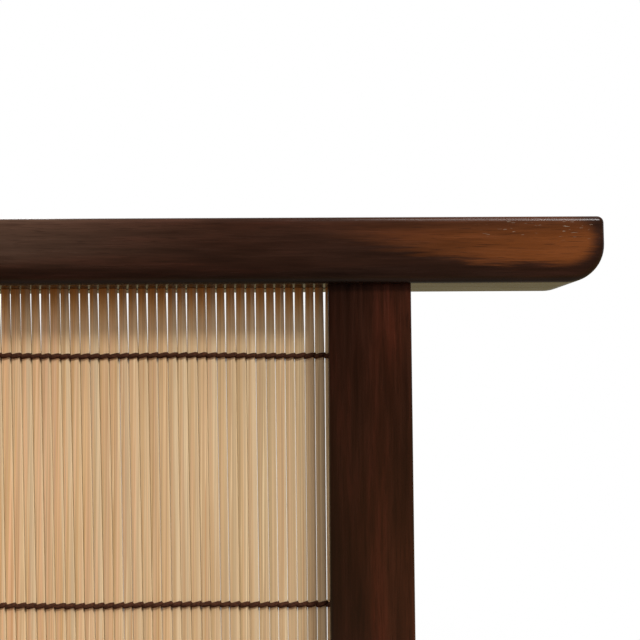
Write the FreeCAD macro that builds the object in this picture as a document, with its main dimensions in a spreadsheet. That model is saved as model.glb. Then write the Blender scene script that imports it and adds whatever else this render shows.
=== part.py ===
import FreeCAD, Part
import enum
import math
import os
import Sketcher

# A table screen: an upright frame filled with a bamboo blind, on two cross feet that turn in line with it.
# Millimetres. X runs along the screen, the front faces -Y, +Z is up, and the origin is on the table at the middle.

SIZES = {
    # Top rail
    "rail_length": 600,
    "rail_depth": 30,
    "rail_height": 20,
    "rail_end_round": 12.4,
    "rail_overhang": 58,
    # Posts
    "post_width": 25,
    "post_depth": 24,
    "post_tenon_length": 11,
    "post_tenon_thickness": 12,
    "post_tenon_shoulder": 6,
    "post_tenon_web": 1,
    # Lower rail and the window above it
    "lower_rail_lift": 40,
    "lower_rail_height": 25,
    "lower_rail_depth": 20,
    "lower_tenon_length": 7,
    "lower_tenon_thickness": 10,
    "lower_tenon_shoulder": 4,
    "window_height": 270,
    # Bamboo blind, held in a groove all round
    "stick_pitch": 3,
    "stick_width": 2.2,
    "stick_thickness": 1.4,
    "stick_bevel": 0.35,
    "stick_top_play": 0.5,
    "groove_depth": 6,
    "groove_side_play": 0.2,
    # Twined threads
    "thread_diameter": 0.8,
    "thread_margin": 21,
    "thread_end_play": 0.5,
    # Feet and their pads
    "foot_length": 130,
    "foot_width": 30,
    "foot_height": 22,
    "foot_end_round": 12.4,
    "foot_chamfer": 1,
    "pad_length": 26,
    "pad_width": 22,
    "pad_thickness": 2,
    "pad_corner": 3,
    "pad_inset": 4,
    # Pivot under each post
    "bolt_diameter": 6,
    "bolt_length": 35,
    "bolt_head_diameter": 15,
    "bolt_head_height": 3,
    "bolt_head_round": 1,
    "bolt_socket": 4,
    "bolt_socket_depth": 2,
    "bolt_tip_play": 1.7,
    "counterbore_diameter": 19,
    "counterbore_depth": 7,
    "washer_diameter": 17,
    "washer_thickness": 1.2,
    "washer_play": 0.2,
    "insert_diameter": 9,
    "insert_length": 15,
    "disc_thickness": 1,
    "disc_rim": 1.5,
    "stop_pin_diameter": 3,
    "stop_pin_seat": 7,
    "stop_pin_reach": 4,
    "stop_wall": 2,
    "stop_play": 0.3,
    # Eased edges and clearances
    "edge_ease": 1.2,
    "joint_play": 0.1,
    "pivot_play": 0.05,
    "lay_play": 0.05,
}

THREAD_ROWS = 4


class Side(enum.IntEnum):
    """Side of the screen, as the sign of its X."""

    LEFT = -1
    RIGHT = 1


class Axis(enum.IntEnum):
    """A sketch's own axes, as constraints name them."""

    X = -1
    Y = -2


class Point(enum.IntEnum):
    """Points of a sketch's line, arc or circle, as constraints name them."""

    START = 1
    END = 2
    CENTRE = 3


# Places and sizes that follow from the driving ones, as expressions on the sheet
HALF_OPENING = "(Sizes.rail_length / 2 - Sizes.rail_overhang - Sizes.post_width)"
POST_AXIS = "(Sizes.rail_length / 2 - Sizes.rail_overhang - Sizes.post_width / 2)"
FOOT_TOP = "(Sizes.pad_thickness + Sizes.foot_height)"
POST_BASE = f"({FOOT_TOP} + Sizes.disc_thickness)"
SILL = "(Sizes.lower_rail_lift + Sizes.lower_rail_height)"
RAIL_UNDERSIDE = f"({SILL} + Sizes.window_height)"
POST_LENGTH = f"({RAIL_UNDERSIDE} - {POST_BASE})"
GROOVE_WIDTH = "(Sizes.stick_thickness + 2 * Sizes.thread_diameter + 2 * Sizes.groove_side_play)"
GROOVE_FLOOR = f"({SILL} - Sizes.groove_depth)"
STICK_LENGTH = "(Sizes.window_height + 2 * Sizes.groove_depth - Sizes.stick_top_play)"
STICKS_PER_HALF = (
    f"(floor(({HALF_OPENING} + Sizes.groove_depth - Sizes.stick_width / 2 - Sizes.stick_pitch / 2)"
    " / Sizes.stick_pitch) + 1)"
)
THREAD_SPACING = f"((Sizes.window_height - 2 * Sizes.thread_margin) / {THREAD_ROWS - 1})"
THREAD_OFFSET = "(Sizes.stick_thickness / 2 + Sizes.thread_diameter / 2 + Sizes.lay_play)"
COUNTERBORE_FLOOR = "(Sizes.pad_thickness + Sizes.counterbore_depth)"
BOLT_SEAT = f"({COUNTERBORE_FLOOR} - Sizes.washer_thickness)"
BOLT_END = f"({BOLT_SEAT} + Sizes.bolt_length)"
STOP_RADIUS = "(Sizes.insert_diameter / 2 + Sizes.stop_wall + Sizes.stop_pin_diameter / 2)"
DISC_DIAMETER = f"(2 * ({STOP_RADIUS} + Sizes.stop_pin_diameter / 2 + Sizes.disc_rim))"

ORIGIN_POINT = (Axis.X, Point.START)
TOLERANCE = 1e-6

doc = FreeCAD.newDocument("TableScreen")
sheet = doc.addObject("Spreadsheet::Sheet", "Sizes")
for row, (alias, size) in enumerate(SIZES.items(), start=1):
    sheet.set(f"A{row}", alias)
    sheet.set(f"B{row}", str(size))
    sheet.setAlias(f"B{row}", alias)
doc.recompute()

sub_parts = []


def value(expression):
    """Return what an expression on the sheet comes to, in millimetres."""
    return float(sheet.evalExpression(str(expression)))


def place(part, x="0", y="0", z="0"):
    """Bind a sub-part's position to the sheet."""
    for axis, expression in zip("xyz", (x, y, z)):
        part.setExpression(f"Placement.Base.{axis}", expression)


def new_body(label):
    """Start a sub-part as a body, which may hold several separate solids."""
    body = doc.addObject("PartDesign::Body", label)
    body.Label = label
    body.AllowCompound = True
    sub_parts.append(body)
    return body


def new_sketch(body, name, plane, lift="0"):
    """Start a sketch on one of the body's origin planes, lifted along the plane's normal."""
    support = next(f for f in body.Origin.OriginFeatures if f.Role == plane)
    sketch = body.newObject("Sketcher::SketchObject", name)
    sketch.AttachmentSupport = [(support, "")]
    sketch.MapMode = "FlatFace"
    sketch.setExpression("AttachmentOffset.Base.z", lift)
    return sketch


def bind_constraint(sketch, constraint, expression):
    """Add a sketch constraint whose datum follows an expression on the sheet."""
    index = sketch.addConstraint(constraint)
    name = f"datum{index}"
    sketch.renameConstraint(index, name)
    sketch.setExpression(f"Constraints.{name}", expression)


def bind_point(sketch, geometry, point, x, y):
    """Hold a point of a sketch at a place given by two expressions."""
    for kind, axis, expression in (("DistanceX", Axis.Y, x), ("DistanceY", Axis.X, y)):
        if abs(value(expression)) < TOLERANCE:
            sketch.addConstraint(Sketcher.Constraint("PointOnObject", geometry, point, axis))
        else:
            datum = Sketcher.Constraint(kind, *ORIGIN_POINT, geometry, point, value(expression))
            bind_constraint(sketch, datum, expression)


def add_outline(sketch, corners):
    """Draw a closed outline through corners, each a pair of expressions."""
    points = [FreeCAD.Vector(value(x), value(y), 0) for x, y in corners]
    first = sketch.GeometryCount
    for start, end in zip(points, points[1:] + points[:1]):
        sketch.addGeometry(Part.LineSegment(start, end))
    for step, (x, y) in enumerate(corners):
        following = first + (step + 1) % len(corners)
        joint = Sketcher.Constraint("Coincident", first + step, Point.END, following, Point.START)
        sketch.addConstraint(joint)
        bind_point(sketch, first + step, Point.START, x, y)


def add_rectangle(sketch, low_x, low_y, high_x, high_y):
    """Draw a rectangle between two opposite corners."""
    add_outline(sketch, [(low_x, low_y), (high_x, low_y), (high_x, high_y), (low_x, high_y)])


def add_centred_rectangle(sketch, width, height):
    """Draw a rectangle about the sketch's origin."""
    add_rectangle(sketch, f"-{width} / 2", f"-{height} / 2", f"{width} / 2", f"{height} / 2")


def add_circle(sketch, diameter, x="0", y="0"):
    """Draw a circle of a bound diameter about a bound place."""
    centre = FreeCAD.Vector(value(x), value(y), 0)
    circle = sketch.addGeometry(Part.Circle(centre, FreeCAD.Vector(0, 0, 1), value(diameter) / 2))
    bind_constraint(sketch, Sketcher.Constraint("Diameter", circle, value(diameter)), diameter)
    bind_point(sketch, circle, Point.CENTRE, x, y)


def add_hexagon(sketch, across, x="0"):
    """Draw a regular hexagon, given across its flats, which face along the sketch's X axis."""
    left, right = f"{x} - {across} / 2", f"{x} + {across} / 2"
    point, shoulder = f"({across} / sqrt(3))", f"({across} / (2 * sqrt(3)))"
    add_outline(sketch, [
        (left, f"-{shoulder}"), (x, f"-{point}"), (right, f"-{shoulder}"),
        (right, shoulder), (x, point), (left, shoulder),
    ])


def pad(body, sketch, length, symmetric=False):
    """Raise a sketch into a solid, along its normal or to both sides."""
    feature = body.newObject("PartDesign::Pad", f"{sketch.Name}_pad")
    feature.Profile = sketch
    feature.setExpression("Length", length)
    feature.SideType = "Symmetric" if symmetric else "One side"
    doc.recompute()
    return feature


def pocket(body, sketch, depth, along_normal=False):
    """Cut a sketch into the body and make sure that something was cut."""
    before = body.Shape.Volume
    feature = body.newObject("PartDesign::Pocket", f"{sketch.Name}_pocket")
    feature.Profile = sketch
    feature.setExpression("Length", depth)
    feature.Reversed = along_normal
    doc.recompute()
    if body.Shape.Volume > before - TOLERANCE:
        raise RuntimeError(f"{sketch.Name} cut nothing")
    return feature


def dress_edges(body, base, name, kind, size, chosen):
    """Round or chamfer the edges of the base feature that the test named chosen picks out."""
    edges = [f"Edge{i}" for i, edge in enumerate(base.Shape.Edges, start=1) if chosen(edge)]
    feature = body.newObject(f"PartDesign::{kind}", name)
    feature.Base = (base, edges)
    feature.setExpression("Radius" if kind == "Fillet" else "Size", size)
    doc.recompute()
    return feature


def fillet(body, base, name, radius, chosen):
    """Round some edges of a feature."""
    return dress_edges(body, base, name, "Fillet", radius, chosen)


def runs_along(edge, axis):
    """Tell whether an edge is a straight line along the named axis."""
    box = edge.BoundBox
    spans = {"x": box.XLength, "y": box.YLength, "z": box.ZLength}
    return all((span > TOLERANCE) == (name == axis) for name, span in spans.items())


def on_face(edge, axis, distance):
    """Tell whether an edge lies in a plane square to an axis, at a distance to either side of the origin."""
    box = edge.BoundBox
    low, high = {"x": (box.XMin, box.XMax), "y": (box.YMin, box.YMax), "z": (box.ZMin, box.ZMax)}[axis]
    return high - low < TOLERANCE and abs(abs(low) - distance) < TOLERANCE


def make_top_rail():
    """Top rail: its lower end corners are quarter rounds, and a groove and two mortises open underneath."""
    body = new_body("top_rail")
    profile = new_sketch(body, "top_rail_profile", "XZ_Plane")
    half_length = "Sizes.rail_length / 2"
    add_rectangle(profile, f"-{half_length}", "0", half_length, "Sizes.rail_height")
    bar = pad(body, profile, "Sizes.rail_depth", symmetric=True)
    end_round = fillet(
        body, bar, "top_rail_end_round", "Sizes.rail_end_round",
        lambda edge: runs_along(edge, "y") and on_face(edge, "z", 0),
    )

    def is_outer(edge):
        on_side = on_face(edge, "y", value("Sizes.rail_depth / 2"))
        return on_side or (runs_along(edge, "y") and on_face(edge, "z", value("Sizes.rail_height")))

    fillet(body, end_round, "top_rail_ease", "Sizes.edge_ease", is_outer)

    groove = new_sketch(body, "top_rail_groove", "XY_Plane")
    add_centred_rectangle(groove, f"(2 * ({HALF_OPENING} + Sizes.groove_depth))", GROOVE_WIDTH)
    pocket(body, groove, "Sizes.groove_depth", along_normal=True)

    mortises = new_sketch(body, "top_rail_mortises", "XY_Plane")
    half_thickness = "(Sizes.post_tenon_thickness / 2 + Sizes.joint_play)"
    for side in Side:
        inner, outer = post_tenon_faces(side, play="Sizes.joint_play")
        add_rectangle(mortises, inner, f"-{half_thickness}", outer, half_thickness)
    pocket(body, mortises, "Sizes.post_tenon_length + Sizes.joint_play", along_normal=True)
    place(body, z=RAIL_UNDERSIDE)


def post_tenon_faces(side, play="0"):
    """Return where a post's upper tenon begins and ends along X, grown by a play at both faces."""
    inner = f"{HALF_OPENING} + Sizes.groove_depth + Sizes.post_tenon_web - {play}"
    outer = f"{HALF_OPENING} + Sizes.post_width - Sizes.post_tenon_shoulder + {play}"
    return f"{side} * ({inner})", f"{side} * ({outer})"


def make_post(side):
    """Post: tenon at the head, groove and mortise on the inner side, bores for insert and stop pin in the foot."""
    name = side.name.lower()
    body = new_body(f"{name}_post")
    section = new_sketch(body, f"{name}_post_section", "XY_Plane")
    add_centred_rectangle(section, "Sizes.post_width", "Sizes.post_depth")
    bar = pad(body, section, POST_LENGTH)
    fillet(body, bar, f"{name}_post_ease", "Sizes.edge_ease", lambda edge: runs_along(edge, "z"))

    tenon = new_sketch(body, f"{name}_post_tenon", "XY_Plane", lift=POST_LENGTH)
    inner, outer = (f"{face} - {side} * {POST_AXIS}" for face in post_tenon_faces(side))
    add_rectangle(tenon, inner, "-Sizes.post_tenon_thickness / 2", outer, "Sizes.post_tenon_thickness / 2")
    pad(body, tenon, "Sizes.post_tenon_length")

    inner_face = f"-{side} * Sizes.post_width / 2"
    groove = new_sketch(body, f"{name}_post_groove", "XY_Plane", lift=POST_LENGTH)
    groove_back = f"{inner_face} + {side} * Sizes.groove_depth"
    add_rectangle(groove, inner_face, f"-{GROOVE_WIDTH} / 2", groove_back, f"{GROOVE_WIDTH} / 2")
    pocket(body, groove, f"{RAIL_UNDERSIDE} - {GROOVE_FLOOR}")

    mortise = new_sketch(body, f"{name}_post_mortise", "YZ_Plane", lift=inner_face)
    low, high = lower_tenon_levels(play="Sizes.joint_play")
    half_thickness = "(Sizes.lower_tenon_thickness / 2 + Sizes.joint_play)"
    add_rectangle(mortise, f"-{half_thickness}", f"{low} - {POST_BASE}", half_thickness, f"{high} - {POST_BASE}")
    pocket(body, mortise, "Sizes.lower_tenon_length + Sizes.joint_play", along_normal=side == Side.RIGHT)

    insert_bore = new_sketch(body, f"{name}_post_insert_bore", "XY_Plane")
    add_circle(insert_bore, "Sizes.insert_diameter + 2 * Sizes.joint_play")
    held = f"max(Sizes.insert_length; {BOLT_END} - {POST_BASE})"
    pocket(body, insert_bore, f"{held} + Sizes.bolt_tip_play", along_normal=True)

    pin_bore = new_sketch(body, f"{name}_post_pin_bore", "XY_Plane")
    add_circle(pin_bore, "Sizes.stop_pin_diameter + 2 * Sizes.pivot_play", y=STOP_RADIUS)
    pocket(body, pin_bore, "Sizes.stop_pin_seat + Sizes.joint_play", along_normal=True)
    place(body, x=f"{side} * {POST_AXIS}", z=POST_BASE)


def lower_tenon_levels(play="0"):
    """Return the heights of the lower rail's tenon, grown by a play below and above."""
    low = f"Sizes.lower_rail_lift + Sizes.lower_tenon_shoulder - {play}"
    high = f"{GROOVE_FLOOR} - Sizes.lower_tenon_shoulder + {play}"
    return f"({low})", f"({high})"


def make_lower_rail():
    """Lower rail: shoulders against both posts, a tenon at each end, and the groove that carries the sticks."""
    body = new_body("lower_rail")
    section = new_sketch(body, "lower_rail_section", "YZ_Plane")
    half_depth = "Sizes.lower_rail_depth / 2"
    add_rectangle(section, f"-{half_depth}", "0", half_depth, "Sizes.lower_rail_height")
    bar = pad(body, section, f"2 * {HALF_OPENING}", symmetric=True)
    fillet(body, bar, "lower_rail_ease", "Sizes.edge_ease", lambda edge: runs_along(edge, "x"))

    tenon = new_sketch(body, "lower_rail_tenon", "YZ_Plane")
    low, high = lower_tenon_levels()
    half_thickness = "Sizes.lower_tenon_thickness / 2"
    add_rectangle(
        tenon, f"-{half_thickness}", f"{low} - Sizes.lower_rail_lift",
        half_thickness, f"{high} - Sizes.lower_rail_lift",
    )
    pad(body, tenon, f"2 * ({HALF_OPENING} + Sizes.lower_tenon_length)", symmetric=True)

    groove = new_sketch(body, "lower_rail_groove", "XY_Plane", lift="Sizes.lower_rail_height")
    add_centred_rectangle(groove, f"(2 * {HALF_OPENING})", GROOVE_WIDTH)
    pocket(body, groove, "Sizes.groove_depth")
    place(body, z="Sizes.lower_rail_lift")


def make_bamboo_sticks():
    """Blind: split bamboo sticks with bevelled sides, standing on the groove floor at an even pitch."""
    body = new_body("bamboo_sticks")
    section = new_sketch(body, "stick_section", "XY_Plane")
    edge, flat = "Sizes.stick_width / 2", "(Sizes.stick_width / 2 - Sizes.stick_bevel)"
    face = "Sizes.stick_thickness / 2"
    add_outline(section, [
        (f"-{edge}", "0"), (f"-{flat}", f"-{face}"), (flat, f"-{face}"),
        (edge, "0"), (flat, face), (f"-{flat}", face),
    ])
    stick = pad(body, section, STICK_LENGTH)
    row = body.newObject("PartDesign::LinearPattern", "stick_row")
    row.Originals = [stick]
    row.Direction = (section, ["H_Axis"])
    row.Mode = "Spacing"
    row.setExpression("Offset", "Sizes.stick_pitch")
    row.setExpression("Occurrences", f"2 * {STICKS_PER_HALF}")
    row.Refine = False
    body.Tip = row
    place(body, x=f"-({STICKS_PER_HALF} - 0.5) * Sizes.stick_pitch", z=GROOVE_FLOOR)


def make_weave_thread(row):
    """One row of the weave: a cord along the front of the sticks and one along the back, down from the top."""
    body = new_body(f"weave_thread_{row}")
    section = new_sketch(body, f"weave_thread_{row}_section", "YZ_Plane")
    for offset in (f"-{THREAD_OFFSET}", THREAD_OFFSET):
        add_hexagon(section, "Sizes.thread_diameter", x=offset)
    half_length = f"({HALF_OPENING} + Sizes.groove_depth - Sizes.thread_end_play)"
    pad(body, section, f"2 * {half_length}", symmetric=True)
    place(body, z=f"{RAIL_UNDERSIDE} - Sizes.thread_margin - {row - 1} * {THREAD_SPACING}")


def add_stop_slot(sketch, side):
    """Draw the quarter-turn slot in which the stop pin runs, about the pivot."""
    radius, half_width = value(STOP_RADIUS), value("Sizes.stop_pin_diameter / 2 + Sizes.stop_play")
    begin, end = (0, math.pi / 2) if side == Side.RIGHT else (math.pi / 2, math.pi)
    begin_axis, end_axis = (Axis.X, Axis.Y) if side == Side.RIGHT else (Axis.Y, Axis.X)
    up = FreeCAD.Vector(0, 0, 1)

    def arc(centre_angle, centre_radius, arc_radius, start, stop):
        turn = FreeCAD.Vector(math.cos(centre_angle), math.sin(centre_angle), 0) * centre_radius
        return sketch.addGeometry(Part.ArcOfCircle(Part.Circle(turn, up, arc_radius), start, stop))

    outer = arc(0, 0, radius + half_width, begin, end)
    inner = arc(0, 0, radius - half_width, begin, end)
    begin_cap = arc(begin, radius, half_width, begin + math.pi, begin + 2 * math.pi)
    end_cap = arc(end, radius, half_width, end, end + math.pi)
    corners = (
        (begin_cap, Point.START, inner, Point.START), (begin_cap, Point.END, outer, Point.START),
        (end_cap, Point.START, outer, Point.END), (end_cap, Point.END, inner, Point.END),
        (outer, Point.CENTRE, *ORIGIN_POINT), (inner, Point.CENTRE, *ORIGIN_POINT),
    )
    for corner in corners:
        sketch.addConstraint(Sketcher.Constraint("Coincident", *corner))
    for curve in (outer, inner):
        sketch.addConstraint(Sketcher.Constraint("PointOnObject", curve, Point.START, begin_axis))
        sketch.addConstraint(Sketcher.Constraint("PointOnObject", curve, Point.END, end_axis))
    sketch.addConstraint(Sketcher.Constraint("PointOnObject", begin_cap, Point.CENTRE, begin_axis))
    sketch.addConstraint(Sketcher.Constraint("PointOnObject", end_cap, Point.CENTRE, end_axis))
    reach = "(Sizes.stop_pin_diameter / 2 + Sizes.stop_play)"
    for curve, sign in ((outer, "+"), (inner, "-")):
        bound = f"{STOP_RADIUS} {sign} {reach}"
        bind_constraint(sketch, Sketcher.Constraint("Radius", curve, value(bound)), bound)


def make_foot(side):
    """Cross foot: upper end corners rounded like the rail's, bored and counterbored for the pivot, slotted on top."""
    name = side.name.lower()
    body = new_body(f"{name}_foot")
    profile = new_sketch(body, f"{name}_foot_profile", "YZ_Plane")
    half_length = "Sizes.foot_length / 2"
    add_rectangle(profile, f"-{half_length}", "0", half_length, "Sizes.foot_height")
    bar = pad(body, profile, "Sizes.foot_width", symmetric=True)
    end_round = fillet(
        body, bar, f"{name}_foot_end_round", "Sizes.foot_end_round",
        lambda edge: runs_along(edge, "x") and on_face(edge, "z", value("Sizes.foot_height")),
    )

    def is_outer(edge):
        on_side = on_face(edge, "x", value("Sizes.foot_width / 2"))
        return on_side or (runs_along(edge, "x") and on_face(edge, "z", 0))

    dress_edges(body, end_round, f"{name}_foot_arris", "Chamfer", "Sizes.foot_chamfer", is_outer)

    counterbore = new_sketch(body, f"{name}_foot_counterbore", "XY_Plane")
    add_circle(counterbore, "Sizes.counterbore_diameter")
    pocket(body, counterbore, "Sizes.counterbore_depth", along_normal=True)
    bore = new_sketch(body, f"{name}_foot_bore", "XY_Plane")
    add_circle(bore, "Sizes.bolt_diameter + 2 * Sizes.pivot_play")
    pocket(body, bore, "Sizes.foot_height", along_normal=True)
    slot = new_sketch(body, f"{name}_foot_slot", "XY_Plane", lift="Sizes.foot_height")
    add_stop_slot(slot, side)
    pocket(body, slot, "Sizes.stop_pin_reach + Sizes.stop_play")
    place(body, x=f"{side} * {POST_AXIS}", z="Sizes.pad_thickness")


def make_foot_pads(side):
    """Two felt pads under the ends of a foot, with rounded corners."""
    name = side.name.lower()
    body = new_body(f"{name}_foot_pads")
    outline = new_sketch(body, f"{name}_pad_outline", "XY_Plane")
    far = "(Sizes.foot_length / 2 - Sizes.pad_inset)"
    near = f"({far} - Sizes.pad_length)"
    half_width = "Sizes.pad_width / 2"
    add_rectangle(outline, f"-{half_width}", near, half_width, far)
    add_rectangle(outline, f"-{half_width}", f"-{far}", half_width, f"-{near}")
    slabs = pad(body, outline, "Sizes.pad_thickness")
    fillet(body, slabs, f"{name}_pad_corners", "Sizes.pad_corner", lambda edge: runs_along(edge, "z"))
    place(body, x=f"{side} * {POST_AXIS}")


def make_pivot_bolt(side):
    """Furniture bolt, head down in the foot: turned head and shank, with a hexagon socket in the head."""
    name = side.name.lower()
    body = new_body(f"{name}_pivot_bolt")
    profile = new_sketch(body, f"{name}_bolt_profile", "XZ_Plane")
    shank, head = "Sizes.bolt_diameter / 2", "Sizes.bolt_head_diameter / 2"
    add_outline(profile, [
        ("0", "-Sizes.bolt_head_height"), (f"{head} - Sizes.bolt_head_round", "-Sizes.bolt_head_height"),
        (head, "Sizes.bolt_head_round - Sizes.bolt_head_height"), (head, "0"), (shank, "0"),
        (shank, "Sizes.bolt_length"), ("0", "Sizes.bolt_length"),
    ])
    turned = body.newObject("PartDesign::Revolution", f"{name}_bolt_turning")
    turned.Profile = profile
    turned.ReferenceAxis = (profile, ["V_Axis"])
    turned.Angle = 360
    doc.recompute()
    socket = new_sketch(body, f"{name}_bolt_socket", "XY_Plane", lift="-Sizes.bolt_head_height")
    add_hexagon(socket, "Sizes.bolt_socket")
    pocket(body, socket, "Sizes.bolt_socket_depth", along_normal=True)
    place(body, x=f"{side} * {POST_AXIS}", z=BOLT_SEAT)


def make_ring(label, outer, inner, thickness, side, height, pin_hole=False):
    """Flat ring or tube about a pivot axis, with a hole for the stop pin where it needs one."""
    body = new_body(label)
    section = new_sketch(body, f"{label}_section", "XY_Plane")
    add_circle(section, outer)
    add_circle(section, inner)
    if pin_hole:
        add_circle(section, "Sizes.stop_pin_diameter + 2 * Sizes.pivot_play", y=STOP_RADIUS)
    pad(body, section, thickness)
    place(body, x=f"{side} * {POST_AXIS}", z=height)


def make_pivot_rings(side):
    """Washer under the bolt's head, slip disc between foot and post, and threaded insert in the post's end."""
    name = side.name.lower()
    loose = "Sizes.bolt_diameter + 2 * Sizes.washer_play"
    tight = "Sizes.bolt_diameter + 2 * Sizes.pivot_play"
    make_ring(f"{name}_bolt_washer", "Sizes.washer_diameter", loose, "Sizes.washer_thickness", side, BOLT_SEAT)
    make_ring(f"{name}_slip_disc", DISC_DIAMETER, loose, "Sizes.disc_thickness", side, FOOT_TOP, pin_hole=True)
    make_ring(f"{name}_thread_insert", "Sizes.insert_diameter", tight, "Sizes.insert_length", side, POST_BASE)


def make_stop_pin(side):
    """Steel pin in the post's end, which stops the foot square to the screen and in line with it."""
    name = side.name.lower()
    pin = doc.addObject("Part::Cylinder", f"{name}_stop_pin")
    pin.Label = f"{name}_stop_pin"
    pin.setExpression("Radius", "Sizes.stop_pin_diameter / 2")
    pin.setExpression("Height", "Sizes.stop_pin_reach + Sizes.disc_thickness + Sizes.stop_pin_seat")
    place(pin, x=f"{side} * {POST_AXIS}", y=STOP_RADIUS, z=f"{FOOT_TOP} - Sizes.stop_pin_reach")
    sub_parts.append(pin)


def write_parts():
    """Check every object of the document, then write each sub-part to its own file."""
    doc.recompute()
    failed = [o.Name for o in doc.Objects if {"Invalid", "Error"} & set(o.State)]
    bad = [part.Label for part in sub_parts if part.Shape.isNull() or not part.Shape.isValid()]
    if failed or bad:
        raise RuntimeError(f"failed objects: {failed}, bad shapes: {bad}")
    os.makedirs("parts", exist_ok=True)
    for part in sub_parts:
        part.Shape.exportStep(os.path.join("parts", f"{part.Label}.step"))
        print(f"{part.Label}: {len(part.Shape.Solids)} solids, {part.Shape.Volume:.0f} mm3")


make_top_rail()
make_lower_rail()
make_bamboo_sticks()
for thread_row in range(1, THREAD_ROWS + 1):
    make_weave_thread(thread_row)
for post_side in Side:
    make_post(post_side)
    make_foot(post_side)
    make_foot_pads(post_side)
    make_pivot_bolt(post_side)
    make_pivot_rings(post_side)
    make_stop_pin(post_side)
write_parts()
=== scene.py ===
"""Table screen: a bamboo blind in a stained frame, on two cross feet that turn in line for storage.

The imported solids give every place. The visible pieces are modelled over them, dressed and lit here.
"""

import enum
import logging
import math
from contextlib import contextmanager
from dataclasses import dataclass, field, replace
from functools import partialmethod
from typing import Callable, Iterator, Sequence, Union

import bmesh
import bpy
import numpy as np
from mathutils import Matrix, Vector


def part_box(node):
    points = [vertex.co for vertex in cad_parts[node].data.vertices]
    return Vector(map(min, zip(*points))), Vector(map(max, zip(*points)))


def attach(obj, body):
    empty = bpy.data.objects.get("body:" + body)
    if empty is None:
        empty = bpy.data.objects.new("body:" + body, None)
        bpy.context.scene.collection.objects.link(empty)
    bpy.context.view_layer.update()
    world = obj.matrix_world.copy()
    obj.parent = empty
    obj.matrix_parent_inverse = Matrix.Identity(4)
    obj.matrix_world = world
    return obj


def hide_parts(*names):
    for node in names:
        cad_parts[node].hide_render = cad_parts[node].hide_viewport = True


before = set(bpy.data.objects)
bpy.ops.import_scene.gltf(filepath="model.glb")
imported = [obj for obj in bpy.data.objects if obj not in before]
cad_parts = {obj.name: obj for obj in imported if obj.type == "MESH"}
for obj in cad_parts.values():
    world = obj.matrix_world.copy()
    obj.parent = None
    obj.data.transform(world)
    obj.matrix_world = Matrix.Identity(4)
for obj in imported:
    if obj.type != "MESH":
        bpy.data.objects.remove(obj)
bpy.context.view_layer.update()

LOG = logging.getLogger("table_screen")
MM = 0.001
SEED = 417
STRAIGHT = 0.9
ROUND_PROFILE = 0.5
EASE_ANGLE = math.radians(35)
MERGE_DISTANCE = 0.02 * MM
DRILL_FACETS = 48
GROOVE_WIDTH = 3.4 * MM
GROOVE_DEPTH = 6 * MM
GROOVE_MOUTH = 2 * MM
STICK_MARK = "stick"
SIDE_MARK = "side"
FLANK_MARK = "flank"

Triple = tuple[float, float, float]
Colour = Triple
Span = tuple[float, float]
Step = tuple[float, ...]
Stops = Sequence[tuple[float, Colour]]
Piece = bpy.types.Object
Material = bpy.types.Material
Socket = bpy.types.NodeSocket
Number = Union[float, Socket]
Test = Callable[[Vector, Vector], bool]


class Axis(enum.Enum):
    """Axis along which grain or an edge runs, by its index."""

    X = 0
    Y = 1
    Z = 2


class Pick(enum.Enum):
    """What a hand tool selects in edit mode."""

    EDGE = "EDGE"
    FACE = "FACE"


class Side(enum.Enum):
    """Side of the screen, with the sign of its X."""

    LEFT = -1
    RIGHT = 1

    @property
    def word(self) -> str:
        """The side's name as the nodes have it."""
        return self.name.lower()


def every(middle: Vector, way: Vector) -> bool:
    """A test that everything passes."""
    return True


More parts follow.
